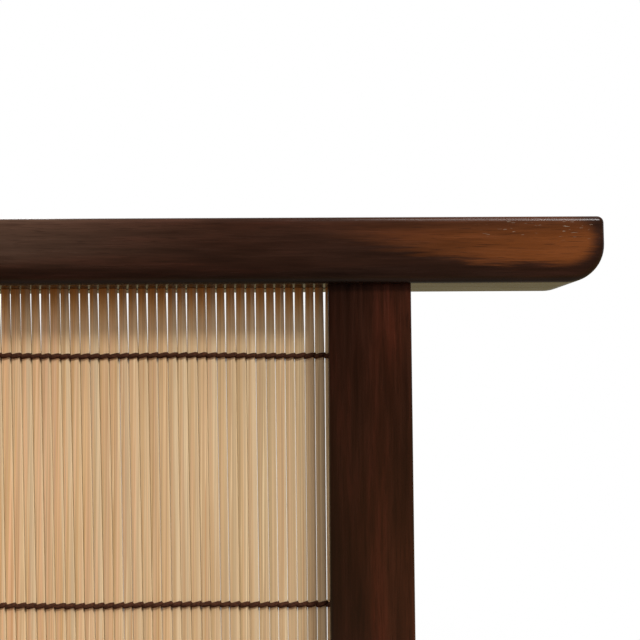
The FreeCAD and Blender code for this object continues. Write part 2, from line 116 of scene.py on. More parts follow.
class Bench:
    """Hand tools that make, shape, join and shade pieces."""

    @staticmethod
    def focus(piece: Piece) -> None:
        """Selects one piece and makes it active.

        Args:
            piece: the piece.
        """
        bpy.ops.object.select_all(action="DESELECT")
        piece.select_set(True)
        bpy.context.view_layer.objects.active = piece

    @staticmethod
    def link(name: str, data: bpy.types.ID) -> Piece:
        """Puts a new object into the scene.

        Args:
            name: the object's name.
            data: what it holds.

        Returns:
            The object.
        """
        made = bpy.data.objects.new(name, data)
        bpy.context.scene.collection.objects.link(made)
        return made

    @staticmethod
    def settle(piece: Piece, name: str) -> Piece:
        """Puts a selected piece's place, turn and size into its mesh.

        Args:
            piece: the piece, selected and active.
            name: its name from now on.

        Returns:
            The piece, at the origin.
        """
        piece.name = piece.data.name = name
        bpy.ops.object.transform_apply(location=True, rotation=True, scale=True)
        return piece

    @staticmethod
    def primitive(
        add: Callable[..., object], name: str, stretch: Sequence[float], **settings: object
    ) -> Piece:
        """Makes a primitive.

        Args:
            add: Blender's operator for it.
            name: the piece's name.
            stretch: factor on each axis.
            settings: the operator's settings.

        Returns:
            The piece, at the origin.
        """
        bpy.ops.object.select_all(action="DESELECT")
        add(**settings)
        bpy.context.object.scale = stretch
        return Bench.settle(bpy.context.object, name)

    @staticmethod
    def block(name: str, low: Vector, high: Vector) -> Piece:
        """A squared block between its lowest and its highest corner."""
        add = bpy.ops.mesh.primitive_cube_add
        return Bench.primitive(add, name, high - low, size=1, location=(low + high) / 2)

    @staticmethod
    def drill(name: str, centre: Vector, diameter: float, bottom: float, top: float) -> Piece:
        """Makes an upright round cutter.

        Args:
            name: the cutter's name.
            centre: a point on its axis.
            diameter: its diameter.
            bottom: height of its lower end.
            top: height of its upper end.

        Returns:
            The cutter.
        """
        add = bpy.ops.mesh.primitive_cylinder_add
        middle = (centre.x, centre.y, (bottom + top) / 2)
        form = {"vertices": DRILL_FACETS, "radius": diameter / 2, "depth": top - bottom}
        return Bench.primitive(add, name, (1, 1, 1), location=middle, **form)

    @staticmethod
    def trace(name: str, places: np.ndarray, closed: bool, **settings: object) -> Piece:
        """Makes a mesh of a curve.

        Args:
            name: the piece's name.
            places: the places that it runs through, one row each.
            closed: joins the last place to the first.
            settings: the curve's settings.

        Returns:
            The piece, selected and active.
        """
        curve = bpy.data.curves.new(name, "CURVE")
        for key, value in settings.items():
            setattr(curve, key, value)
        spline = curve.splines.new("POLY")
        spline.points.add(len(places) - 1)
        spline.points.foreach_set("co", np.column_stack((places, np.ones(len(places)))).ravel())
        spline.use_cyclic_u = closed
        Bench.focus(Bench.link(name, curve))
        bpy.ops.object.convert(target="MESH")
        return bpy.context.object

    @staticmethod
    def along(axis: Axis) -> Test:
        """A test for edges that run along an axis."""
        return lambda middle, way: abs(way[axis.value]) > STRAIGHT

    @staticmethod
    @contextmanager
    def picked(piece: Piece, kind: Pick, test: Test) -> Iterator[None]:
        """Stays in edit mode with the edges or faces that pass a test selected.

        Args:
            piece: the piece to work on.
            kind: edges or faces.
            test: takes an edge's middle and direction, or a face's middle and normal.

        Yields:
            Nothing, while the mode lasts.
        """
        Bench.focus(piece)
        bpy.ops.object.mode_set(mode="EDIT")
        bpy.ops.mesh.select_mode(type=kind.value)
        bpy.ops.mesh.select_all(action="DESELECT")
        form = bmesh.from_edit_mesh(piece.data)
        if kind is Pick.EDGE:
            for edge in form.edges:
                start, end = (v.co for v in edge.verts)
                edge.select_set(test((start + end) / 2, (end - start).normalized()))
        else:
            for face in form.faces:
                face.select_set(test(face.calc_center_median(), face.normal))
        bmesh.update_edit_mesh(piece.data)
        yield
        bpy.ops.object.mode_set(mode="OBJECT")

    @staticmethod
    def round_edges(piece: Piece, test: Test, radius: float, facets: int) -> None:
        """Rounds the edges that pass a test, with some facets across the round."""
        with Bench.picked(piece, Pick.EDGE, test):
            bpy.ops.mesh.bevel(offset=radius, segments=facets, profile=ROUND_PROFILE, affect="EDGES")

    @staticmethod
    def slice_level(piece: Piece, level: float) -> None:
        """Divides a piece by a level cut, without parting it."""
        with Bench.picked(piece, Pick.FACE, every):
            bpy.ops.mesh.bisect(plane_co=(0, 0, level), plane_no=(0, 0, 1))

    @staticmethod
    def merge(piece: Piece) -> None:
        """Merges points that a cut or a fill left side by side."""
        with Bench.picked(piece, Pick.FACE, every):
            bpy.ops.mesh.remove_doubles(threshold=MERGE_DISTANCE)

    @staticmethod
    def modify(piece: Piece, kind: str, **settings: object) -> None:
        """Works on a piece with a modifier that is applied.

        Args:
            piece: the piece to work on.
            kind: Blender's name for the modifier.
            settings: its settings.
        """
        modifier = piece.modifiers.new(kind, kind)
        for name, value in settings.items():
            setattr(modifier, name, value)
        Bench.focus(piece)
        bpy.ops.object.modifier_apply(modifier=modifier.name)

    @staticmethod
    def ease(piece: Piece, radius: float, facets: int) -> None:
        """Eases every sharp edge, with some facets across the round."""
        limit = {"limit_method": "ANGLE", "angle_limit": EASE_ANGLE}
        Bench.modify(piece, "BEVEL", width=radius, segments=facets, **limit)

    @staticmethod
    def cut(piece: Piece, cutter: Piece) -> None:
        """Takes a cutter's shape out of a piece, and puts the cutter away."""
        Bench.modify(piece, "BOOLEAN", operation="DIFFERENCE", solver="EXACT", object=cutter)
        bpy.data.objects.remove(cutter, do_unlink=True)

    @staticmethod
    def groove(piece: Piece, x: Span, z: Span) -> None:
        """Cuts the groove that holds the blind, from its ends on X and its lower and upper height."""
        low, high = (Vector((x[k], (k - 0.5) * GROOVE_WIDTH, z[k])) for k in range(2))
        Bench.cut(piece, Bench.block("groove", low, high))

    @staticmethod
    def repeat(piece: Piece, count: int, step: Vector) -> None:
        """Repeats a piece in its own mesh, in a row of that many with that step."""
        form = {"use_relative_offset": False, "use_constant_offset": True}
        Bench.modify(piece, "ARRAY", count=count, constant_offset_displace=step, **form)

    @staticmethod
    def join(pieces: Sequence[Piece], name: str) -> Piece:
        """Makes one object of several.

        Args:
            pieces: the objects to join.
            name: the name of the one.

        Returns:
            The joined object.
        """
        Bench.focus(pieces[0])
        for piece in pieces[1:]:
            piece.select_set(True)
        bpy.ops.object.join()
        joined = bpy.context.object
        joined.name = joined.data.name = name
        return joined

    @staticmethod
    def smooth(piece: Piece, angle: float = 40, keep_flats: bool = True) -> None:
        """Shades a piece smoothly across its rounds.

        Args:
            piece: the piece to shade.
            angle: edges sharper than this, in degrees, stay sharp.
            keep_flats: wide faces keep their own normal up to the rounds.
        """
        Bench.focus(piece)
        bpy.ops.object.shade_smooth_by_angle(angle=math.radians(angle))
        if keep_flats:
            Bench.modify(piece, "WEIGHTED_NORMAL", keep_sharp=True)

    @staticmethod
    def points(piece: Piece) -> np.ndarray:
        """Reads a piece's vertices.

        Args:
            piece: the piece.

        Returns:
            Their places, one row each.
        """
        found = np.zeros(len(piece.data.vertices) * 3, np.float32)
        piece.data.vertices.foreach_get("co", found)
        return found.reshape(-1, 3).astype(float)

    @staticmethod
    def set_points(piece: Piece, points: np.ndarray) -> None:
        """Moves the piece's vertices to new places, one row each."""
        piece.data.vertices.foreach_set("co", points.astype(np.float32).ravel())
        piece.data.update()

    @staticmethod
    def mark(piece: Piece, name: str, values: np.ndarray) -> None:
        """Gives each vertex a number, which the finish reads under the mark's name."""
        attribute = piece.data.attributes.new(name, "FLOAT", "POINT")
        attribute.data.foreach_set("value", values.astype(np.float32))


@dataclass(frozen=True)
class Pattern:
    """A noise: frequency per metre on each axis, octaves, weight of the finer ones, warp and shift."""

    scale: Triple
    detail: float = 2
    rough: float = 0.5
    warp: float = 0
    move: Triple = (0, 0, 0)

    def turned(self, way: Axis) -> "Pattern":
        """The pattern, which is drawn along X, turned to run along another axis."""
        return replace(self, scale=self.scale[-way.value:] + self.scale[:-way.value])


class NodeTree:
    """A node tree, wired by short calls that each return a socket."""

    def __init__(self, tree: bpy.types.NodeTree) -> None:
        """Takes a tree up."""
        self.tree = tree

    def put(self, socket: Socket, value: object) -> None:
        """Links a socket, or sets its own value.

        Args:
            socket: the socket.
            value: another socket, a number, a vector or a colour.
        """
        if isinstance(value, Socket):
            self.tree.links.new(value, socket)
        elif socket.type == "RGBA":
            socket.default_value = (*value, 1)
        else:
            socket.default_value = value

    def add(self, kind: str, inputs: dict[Union[int, str], object], **settings: object) -> bpy.types.Node:
        """Adds a node.

        Args:
            kind: Blender's name for it, after "ShaderNode".
            inputs: values or sockets for its sockets, by index or name.
            settings: its other settings.

        Returns:
            The node.
        """
        node = self.tree.nodes.new(f"ShaderNode{kind}")
        for name, value in settings.items():
            setattr(node, name, value)
        for key, value in inputs.items():
            self.put(node.inputs[key], value)
        return node

    def calc(self, operation: str, first: Number, second: Number = 0.0) -> Socket:
        """The result of a sum, which goes by Blender's name."""
        return self.add("Math", {0: first, 1: second}, operation=operation).outputs[0]

    plus = partialmethod(calc, "ADD")
    minus = partialmethod(calc, "SUBTRACT")
    times = partialmethod(calc, "MULTIPLY")
    larger = partialmethod(calc, "MAXIMUM")

    def step(self, number: Socket, *limits: float, kind: str = "SMOOTHSTEP") -> Socket:
        """Goes between the last two limits, or from 0 to 1, while a number goes between the first two."""
        inputs = dict(enumerate((number, *limits)))
        return self.add("MapRange", inputs, interpolation_type=kind).outputs[0]

    def axes(self, vector: Socket) -> tuple[Socket, ...]:
        """The three parts of a vector."""
        return tuple(self.add("SeparateXYZ", {0: vector}).outputs)

    def rays(self) -> tuple[Socket, Socket]:
        """Whether a ray comes from the camera, and whether a surface has mirrored or passed it."""
        path = self.add("LightPath", {}).outputs
        return path["Is Camera Ray"], self.larger(path["Is Glossy Ray"], path["Is Transmission Ray"])


class FinishTree(NodeTree):
    """A finish's node tree, with one principled surface."""

    def __init__(self, name: str) -> None:
        """Starts a material.

        Args:
            name: the material's name.
        """
        self.material = bpy.data.materials.new(name)
        self.material.use_nodes = True
        super().__init__(self.material.node_tree)
        self.tree.nodes.clear()
        self.surface = self.add("BsdfPrincipled", {})
        self.output = self.add("OutputMaterial", {"Surface": self.surface.outputs["BSDF"]})
        self.coords = self.add("TexCoord", {}).outputs["Object"]

    def set(self, **values: object) -> None:
        """Sets or links the surface's sockets, named with underscores for spaces."""
        for name, value in values.items():
            self.put(self.surface.inputs[name.replace("_", " ")], value)

    def noise(self, pattern: Pattern, vector: Union[Socket, None] = None) -> Socket:
        """Draws a pattern.

        Args:
            pattern: what is drawn.
            vector: the coordinates, which are the object's own if none are given.

        Returns:
            A number about 0.5.
        """
        place = self.coords if vector is None else vector
        laid = self.add("Mapping", {"Vector": place, "Scale": pattern.scale, "Location": pattern.move})
        inputs = {"Vector": laid.outputs["Vector"], "Scale": 1.0, "Detail": pattern.detail}
        inputs.update({"Roughness": pattern.rough, "Distortion": pattern.warp})
        return self.add("TexNoise", inputs).outputs["Fac"]

    def chance(self, number: Socket) -> Socket:
        """A random number for each value of a number."""
        return self.add("TexWhiteNoise", {"W": number}, noise_dimensions="1D").outputs["Value"]

    def mark(self, name: str) -> Socket:
        """The number that a piece's vertices carry under a name."""
        return self.add("Attribute", {}, attribute_name=name).outputs["Fac"]

    def ramp(self, number: Socket, stops: Stops) -> Socket:
        """Colours along a number.

        Args:
            number: from 0 to 1.
            stops: places and their colours.

        Returns:
            The colour.
        """
        node = self.add("ValToRGB", {"Fac": number})
        elements = node.color_ramp.elements
        while len(elements) < len(stops):
            elements.new(0.5)
        for element, (place, colour) in zip(elements, stops):
            element.position = place
            element.color = (*colour, 1)
        return node.outputs["Color"]

    def mix(self, share: Number, first: object, second: object) -> Socket:
        """A colour with a share of a second one in it."""
        return self.add("Mix", {0: share, 6: first, 7: second}, data_type="RGBA").outputs[2]

    def shaded(self, colour: Socket, light: Socket) -> Socket:
        """A colour times a factor, where 1 leaves it as it is."""
        return self.add("VectorMath", {0: colour, "Scale": light}, operation="SCALE").outputs[0]

    def shifted(self, offset: Socket) -> Socket:
        """The coordinates moved along Z by a number, so that pieces differ."""
        move = self.add("CombineXYZ", {2: offset}).outputs[0]
        return self.add("VectorMath", {0: self.coords, 1: move}, operation="ADD").outputs[0]

    def bump(self, height: Socket, depth: float, strength: float) -> None:
        """Lays relief on the surface, of a depth in metres at height 1 and a share that shows."""
        node = self.add("Bump", {"Height": height, "Distance": depth, "Strength": strength})
        self.set(Normal=node.outputs["Normal"])


@dataclass(frozen=True)
class StainedWood:
    """Straight-grained wood, stained dark reddish brown under satin lacquer."""

    name: str
    grain: Axis
    umber: Colour = (0.0136, 0.0041, 0.0017)
    brown: Colour = (0.0226, 0.0062, 0.0025)
    red: Colour = (0.0400, 0.0085, 0.0035)
    stops: Triple = (0.32, 0.50, 0.68)
    bands: Pattern = Pattern((14, 150, 150), 3, warp=0.4, move=(1.3, 1.3, 1.3))
    streaks: Pattern = Pattern((42, 640, 640), 4, 0.6, move=(4.1, 4.1, 4.1))
    fibres: Pattern = Pattern((110, 2600, 2600), move=(2.7, 2.7, 2.7))
    pores: Pattern = Pattern((150, 3600, 3600), 1, 0.4, move=(7.9, 7.9, 7.9))
    band_share: float = 0.7
    streak_share: float = 0.3
    streak_light: Step = (0.28, 0.72, 0.88, 1.12)
    fibre_light: Step = (0.25, 0.75, 0.92, 1.08)
    pore_share: Step = (0.60, 0.70, 0.0, 0.45)
    roughness: Step = (0.25, 0.8, 0.21, 0.31)
    specular: float = 0.16
    fibre_relief: float = 0.5
    relief: Span = (0.00004, 0.2)

    def drawn(self, tree: FinishTree, pattern: Pattern) -> Socket:
        """A pattern that runs with the grain."""
        return tree.noise(pattern.turned(self.grain))

    def stain(self, tree: FinishTree, colour: Socket, tone: Socket) -> Socket:
        """What a piece's own stain, and any light or shade painted on it, make of the grain's colour and
        tone: nothing here.
        """
        return colour

    def material(self) -> Material:
        """Makes the finish.

        Returns:
            The material.
        """
        tree = FinishTree(self.name)
        patterns = (self.bands, self.streaks, self.fibres, self.pores)
        bands, streaks, fibres, pores = (self.drawn(tree, pattern) for pattern in patterns)
        tone = tree.plus(tree.times(bands, self.band_share), tree.times(streaks, self.streak_share))
        colour = tree.ramp(tone, tuple(zip(self.stops, (self.umber, self.brown, self.red))))
        # The piece's own stain; on the posts and the cap rail also painted light and shade.
        colour = self.stain(tree, colour, tone)
        colour = tree.shaded(colour, tree.step(streaks, *self.streak_light))
        colour = tree.shaded(colour, tree.step(fibres, *self.fibre_light))
        colour = tree.mix(tree.step(pores, *self.pore_share), colour, self.umber)
        roughness = tree.step(streaks, *self.roughness)
        tree.set(Base_Color=colour, Roughness=roughness, Specular_IOR_Level=self.specular)
        tree.bump(tree.plus(tree.times(fibres, self.fibre_relief), streaks), *self.relief)
        return tree.material


@dataclass(frozen=True)
class PostWood(StainedWood):
    """The posts' wood: painted shade towards the inner edge, painted light low and high on the outer side.
    """

    outward: Step = (0.217, 0.242)
    thinned: Step = (0.290, 0.245, 0.42, 0.92)
    rubbed: Step = (0.305, 0.330, 0.0, 0.34)
    inner_light: float = 0.80

    def stain(self, tree: FinishTree, colour: Socket, tone: Socket) -> Socket:
        """Paints shade towards the inner edge and light low and high on the outer side.

        Args:
            tree: the finish's node tree.
            colour: the grain's colour.
            tone: the grain's tone, about 0.5; not used here.

        Returns:
            The colour, with the painted light and shade.
        """
        # Painted light and shade: darker towards the inner edge, lighter low down and near the top on the
        # outer side.
        x, _, z = tree.axes(tree.coords)
        outward = tree.step(tree.calc("ABSOLUTE", x), *self.outward)
        painted_light_sum = tree.plus(tree.step(z, *self.thinned), tree.step(z, *self.rubbed))
        return tree.shaded(colour, tree.plus(tree.times(outward, painted_light_sum), self.inner_light))


@dataclass(frozen=True)
class CapRailWood(StainedWood):
    """The cap rail's wood: amber towards the ends, painted sheen and light above, painted shade along the
    lower edge.
    """

    umber: Colour = (0.0158, 0.0063, 0.0034)
    brown: Colour = (0.0252, 0.0094, 0.0049)
    red: Colour = (0.0410, 0.0117, 0.0056)
    amber: Colour = (0.1330, 0.0375, 0.0074)
    haze: Colour = (0.0560, 0.0300, 0.0190)
    fleck: Colour = (0.2400, 0.1900, 0.1400)
    round_centre: Span = (0.2876, 0.3474)
    round_squash: float = 0.76
    fine: Pattern = Pattern((70, 1100, 1100), 3, 0.6, move=(3.3, 3.3, 3.3))
    tone_fray: float = 0.012
    fine_fray: float = 0.009
    end_fray: Step = (0.276, 0.292, 1.0, 0.30)
    fray_reach: float = 3.0
    slope_from: float = 0.270
    slope: float = 0.17
    upper_border: float = 0.3477
    thin_along: Step = (0.200, 0.292)
    thin_top: Step = (0.3540, 0.3480, 0.42, 1.0)
    thin_border: Step = (0.0086, 0.0052)
    haze_along: Step = (0.190, 0.105, 0.0, 0.95)
    haze_rise: Step = (0.3385, 0.3450)
    top_light: Step = (0.3450, 0.3525, 1.0, 1.35)
    flecks: Pattern = Pattern((330, 3400, 3400), 1, 0.4, move=(5.4, 5.4, 5.4))
    fleck_share: Step = (0.71, 0.75)
    fleck_rise: Step = (0.3468, 0.3500)
    fleck_top: Step = (0.3540, 0.3530)
    fleck_along: Step = (0.258, 0.272)
    gather: Step = (0.0050, 0.0108)
    gather_along: Step = (0.215, 0.250, 0.56, 0.28)

    def border(self, tree: FinishTree, x: Socket, drop: Socket) -> Socket:
        """How near a place is to the rounded end and the lower edge.

        Args:
            tree: the finish's node tree.
            x: distance from the screen's middle.
            drop: depth below the end round's centre, as the border counts it.

        Returns:
            The distance outwards and downwards from the end round's centre, in metres.
        """
        outward = tree.larger(tree.minus(x, self.round_centre[0]), 0.0)
        outward = tree.times(outward, self.round_squash)
        downward = tree.larger(drop, 0.0)
        square = tree.plus(tree.calc("POWER", outward, 2.0), tree.calc("POWER", downward, 2.0))
        return tree.calc("SQRT", square)

    def stain(self, tree: FinishTree, colour: Socket, tone: Socket) -> Socket:
        """Lays amber towards the ends, painted sheen and light above, and painted shade along the lower
        edge.

        Args:
            tree: the finish's node tree.
            colour: the grain's colour.
            tone: the grain's tone, about 0.5.

        Returns:
            The colour, with amber, flecks and the painted sheen, light and shade.
        """
        x, _, z = tree.axes(tree.coords)
        x = tree.calc("ABSOLUTE", x)
        frays = ((tone, self.tone_fray), (self.drawn(tree, self.fine), self.fine_fray))
        fray = tree.plus(*(tree.times(tree.minus(noise, 0.5), share) for noise, share in frays))
        fray = tree.times(fray, tree.step(x, *self.end_fray))
        drop = tree.minus(self.round_centre[1], z)
        inward = tree.larger(tree.minus(self.slope_from, x), 0.0)
        edge = self.border(tree, x, drop)
        sloped = tree.plus(drop, tree.times(inward, self.slope))
        rising = self.border(tree, x, tree.larger(sloped, tree.minus(z, self.upper_border)))
        reach = tree.plus(x, tree.times(fray, self.fray_reach))
        amber_share = tree.times(tree.step(reach, *self.thin_along), tree.step(z, *self.thin_top))
        amber_share = tree.times(amber_share, tree.step(tree.plus(rising, fray), *self.thin_border))
        # Painted sheen: a greyer haze over the middle of the front, fading out towards the lower edge.
        painted_sheen_share = tree.times(tree.step(x, *self.haze_along), tree.step(z, *self.haze_rise))
        colour = tree.mix(painted_sheen_share, colour, self.haze)
        # Painted light: the front lighter in its upper band, towards the top edge.
        colour = tree.shaded(colour, tree.step(z, *self.top_light))
        colour = tree.mix(amber_share, colour, self.amber)
        upper = tree.times(tree.step(z, *self.fleck_rise), tree.step(z, *self.fleck_top))
        upper = tree.times(upper, tree.step(x, *self.fleck_along))
        flecks = tree.step(self.drawn(tree, self.flecks), *self.fleck_share)
        colour = tree.mix(tree.times(flecks, upper), colour, self.fleck)
        # Painted shade: darker along the lower edge and round the end rounds, half as strong near the ends.
        painted_edge_shade = tree.times(tree.step(edge, *self.gather), tree.step(x, *self.gather_along))
        return tree.shaded(colour, tree.minus(1.0, painted_edge_shade))


@dataclass(frozen=True)
class SplitBamboo:
    """Split bamboo with bare fibre, in tones of its own by stick, a pith side and painted shade on the left
    edge.
    """

    name: str = "split_bamboo"
    tones: Stops = (
        (0.00, (0.470, 0.268, 0.112)),
        (0.20, (0.590, 0.350, 0.160)),
        (0.40, (0.640, 0.362, 0.188)),
        (0.60, (0.600, 0.388, 0.172)),
        (0.80, (0.660, 0.425, 0.232)),
        (1.00, (0.530, 0.322, 0.150)),
    )
    streak_tones: Stops = (
        (0.37, (0.470, 0.250, 0.092)),
        (0.45, (0.640, 0.415, 0.196)),
        (0.51, (0.680, 0.368, 0.202)),
        (0.57, (0.690, 0.460, 0.270)),
        (0.66, (0.450, 0.330, 0.164)),
    )
    drift_tones: Stops = (
        (0.43, (0.665, 0.376, 0.228)),
        (0.50, (0.570, 0.348, 0.140)),
        (0.57, (0.655, 0.455, 0.258)),
    )
    honey: Colour = (0.600, 0.310, 0.088)
    stain: Colour = (0.42, 0.21, 0.08)
    split: Colour = (0.760, 0.590, 0.350)
    pith: Colour = (0.560, 0.415, 0.248)
    flank: Colour = (0.650, 0.500, 0.292)
    rind: Colour = (0.540, 0.390, 0.195)
    grey: Colour = (0.440, 0.325, 0.178)
    soot: Colour = (0.060, 0.028, 0.012)
    fibres: Pattern = Pattern((2600, 2600, 9), 3, 0.6)
    streaks: Pattern = Pattern((1250, 1250, 4), 3, 0.6)
    stains: Pattern = Pattern((1500, 1500, 6))
    splits: Pattern = Pattern((1500, 1500, 10), 3, 0.6, move=(3.1, 0.7, 5.9))
    drifts: Pattern = Pattern((420, 420, 5), 3, 0.65)
    second_draw: float = 200.0
    stick_shift: float = 0.37
    blend: float = 0.55
    grey_share: Step = (0.090, 0.215, 0.0, 0.65)
    honey_share: Step = (0.3215, 0.3345)
    pith_place: Step = (0.0, 1.0, -0.4, 0.3)
    pith_from: Step = (0.02, 0.40)
    pith_share: Step = (0.0, 1.0, 0.35, 1.0)
    fibre_light: Step = (0.3, 0.7, 0.82, 1.13)
    stain_share: Step = (0.60, 0.70, 0.0, 0.62)
    split_share: Step = (0.58, 0.68, 0.0, 0.70)
    rind_pick: Step = (0.2, 0.8)
    rind_side: Step = (-0.2, 0.2)
    flank_share: Step = (0.15, 0.75, 0.0, 0.9)
    soot_below: Step = (0.0008, 0.0026, 0.80, 0.0)
    soot_flank: Step = (0.10, 0.50)
    top_row: float = 0.3140
    row_step: float = 0.0760
    roughness: Step = (0.2, 0.8, 0.46, 0.62)
    specular: float = 0.25
    relief: Span = (0.00005, 0.4)

    def material(self) -> Material:
        """Makes the finish.

        Returns:
            The material.
        """
        tree = FinishTree(self.name)
        stick, side, flank = (tree.mark(name) for name in (STICK_MARK, SIDE_MARK, FLANK_MARK))
        pick, other = tree.chance(stick), tree.chance(tree.plus(stick, self.second_draw))
        own = tree.shifted(tree.times(stick, self.stick_shift))
        patterns = (self.fibres, self.streaks, self.stains, self.splits)
        fibres, streaks, stains, splits = (tree.noise(pattern, own) for pattern in patterns)
        drifts = tree.ramp(tree.noise(self.drifts), self.drift_tones)
        colour = tree.mix(self.blend, tree.ramp(pick, self.tones), drifts)
        colour = tree.mix(self.blend, colour, tree.ramp(streaks, self.streak_tones))
        x, _, z = tree.axes(tree.coords)
        colour = tree.mix(tree.step(tree.calc("ABSOLUTE", x), *self.grey_share), colour, self.grey)
        # Painted shade: a warm brown tint at the tops of the sticks, in the rail's shadow.
        colour = tree.mix(tree.step(z, *self.honey_share), colour, self.honey)
        pithy = tree.step(tree.plus(side, tree.step(pick, *self.pith_place)), *self.pith_from)
        pithy = tree.times(pithy, tree.step(other, *self.pith_share))
        colour = tree.mix(pithy, colour, self.pith)
        colour = tree.shaded(colour, tree.step(fibres, *self.fibre_light))
        colour = tree.mix(tree.step(stains, *self.stain_share), colour, self.stain)
        colour = tree.mix(tree.step(splits, *self.split_share), colour, self.split)
        # Painted shade: the left edge, facing away from the key lamp, darker by a share that differs from
        # stick to stick.
        rind = tree.mix(tree.step(other, *self.rind_pick), self.rind, self.flank)
        edge = tree.mix(tree.step(side, *self.rind_side), rind, self.flank)
        colour = tree.mix(tree.step(flank, *self.flank_share), colour, edge)
        # Painted shadow: dark marks on the stick edges just below each row of thread.
        below = tree.calc("FLOORED_MODULO", tree.minus(self.top_row, z), self.row_step)
        thread_shadow_share = tree.times(tree.step(below, *self.soot_below), tree.step(flank, *self.soot_flank))
        colour = tree.mix(thread_shadow_share, colour, self.soot)
        roughness = tree.step(fibres, *self.roughness)
        tree.set(Base_Color=colour, Roughness=roughness, Specular_IOR_Level=self.specular)
        tree.bump(fibres, *self.relief)
        return tree.material


@dataclass(frozen=True)
class TwistedCotton:
    """Dark brown cotton thread with a dull, hairy surface."""

    name: str = "twisted_cotton"
    dark: Colour = (0.0150, 0.0050, 0.0026)
    brown: Colour = (0.0780, 0.0250, 0.0100)
    stops: Span = (0.34, 0.66)
    plies: Pattern = Pattern((1500, 2600, 2600))
    hairs: Pattern = Pattern((5200, 5200, 5200), 2, 0.7)
    ply_share: float = 0.6
    hair_share: float = 0.4
    roughness: Step = (0.3, 0.7, 0.78, 0.95)
    specular: float = 0.15
    relief: Span = (0.00012, 0.8)

    def material(self) -> Material:
        """Makes the finish.

        Returns:
            The material.
        """
        tree = FinishTree(self.name)
        plies, hairs = tree.noise(self.plies), tree.noise(self.hairs)
        tone = tree.plus(tree.times(plies, self.ply_share), tree.times(hairs, self.hair_share))
        colour = tree.ramp(tone, tuple(zip(self.stops, (self.dark, self.brown))))
        roughness = tree.step(hairs, *self.roughness)
        tree.set(Base_Color=colour, Roughness=roughness, Specular_IOR_Level=self.specular)
        tree.bump(tone, *self.relief)
        return tree.material


@dataclass(frozen=True)
class PlainFinish:
    """A finish clouded in two tones, its roughness and relief from a pattern of their own."""

    name: str
    dark: Colour
    light: Colour
    cloud: Pattern
    stops: Span
    marks: Pattern
    roughness: Step
    relief: Span
    specular: float = 0.5
    metallic: float = 0.0

    def material(self) -> Material:
        """Makes the finish.

        Returns:
            The material.
        """
        tree = FinishTree(self.name)
        cloud, marks = tree.noise(self.cloud), tree.noise(self.marks)
        colour = tree.ramp(cloud, tuple(zip(self.stops, (self.dark, self.light))))
        tree.set(Base_Color=colour, Roughness=tree.step(marks, *self.roughness))
        tree.set(Specular_IOR_Level=self.specular, Metallic=self.metallic)
        tree.bump(marks, *self.relief)
        return tree.material


WOOL = Pattern((1400, 1400, 1400), 4, 0.75, 1.2)
FELT = PlainFinish(
    "pressed_felt", dark=(0.014, 0.010, 0.008), light=(0.048, 0.037, 0.030), cloud=WOOL, stops=(0.32, 0.68),
    marks=WOOL, roughness=(0.3, 0.7, 0.88, 1.0), relief=(0.0003, 0.8), specular=0.1,
)
STEEL = PlainFinish(
    "zinc_plate", dark=(0.38, 0.38, 0.36), light=(0.52, 0.52, 0.50), cloud=Pattern((140, 140, 140), 3),
    stops=(0.35, 0.62), marks=Pattern((900, 900, 5200), 3, 0.6), roughness=(0.25, 0.75, 0.24, 0.42),
    relief=(0.00003, 0.5), metallic=1.0,
)
BRASS = replace(
    STEEL, name="turned_brass", dark=(0.46, 0.29, 0.09), light=(0.62, 0.40, 0.13),
    roughness=(0.25, 0.75, 0.20, 0.36),
)
NYLON = PlainFinish(
    "matt_nylon", dark=(0.50, 0.46, 0.37), light=(0.62, 0.58, 0.48), cloud=Pattern((160, 160, 160)),
    stops=(0.35, 0.65), marks=Pattern((2400, 2400, 2400)), roughness=(0.3, 0.7, 0.45, 0.6),
    relief=(0.00004, 0.5),
)


def dress(piece: Piece, finish: Material, body: str, nodes: Sequence[str]) -> None:
    """Gives a finished piece its material and its place in the frame.

    Args:
        piece: the piece.
        finish: its material.
        body: the body that it rides on.
        nodes: the solids that it stands for.
    """
    piece.data.materials.clear()
    piece.data.materials.append(finish)
    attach(piece, body)
    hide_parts(*nodes)
    LOG.info("%s: %d faces, for %s", piece.name, len(piece.data.polygons), ", ".join(nodes))


@dataclass
class TopRail:
    """Cap rail that runs past the posts, its lower end corners a quarter round."""

    end_round: float = 11.6 * MM
    end_facets: int = 14
    edge_round: float = 2.0 * MM
    edge_facets: int = 6
    groove_reach: float = 223 * MM

    def build(self, finish: Material) -> None:
        """Models the rail and dresses it.

        Args:
            finish: the rail's material.
        """
        low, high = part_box("top_rail")
        piece = Bench.block("cap_rail", low, high)
        Bench.round_edges(
            piece,
            lambda middle, way: abs(way.y) > STRAIGHT and middle.z < low.z + MM,
            self.end_round,
            self.end_facets,
        )
        Bench.ease(piece, self.edge_round, self.edge_facets)
        reach = (-self.groove_reach, self.groove_reach)
        Bench.groove(piece, reach, (low.z - GROOVE_MOUTH, low.z + GROOVE_DEPTH))
        Bench.smooth(piece)
        dress(piece, finish, "screen", ["top_rail"])


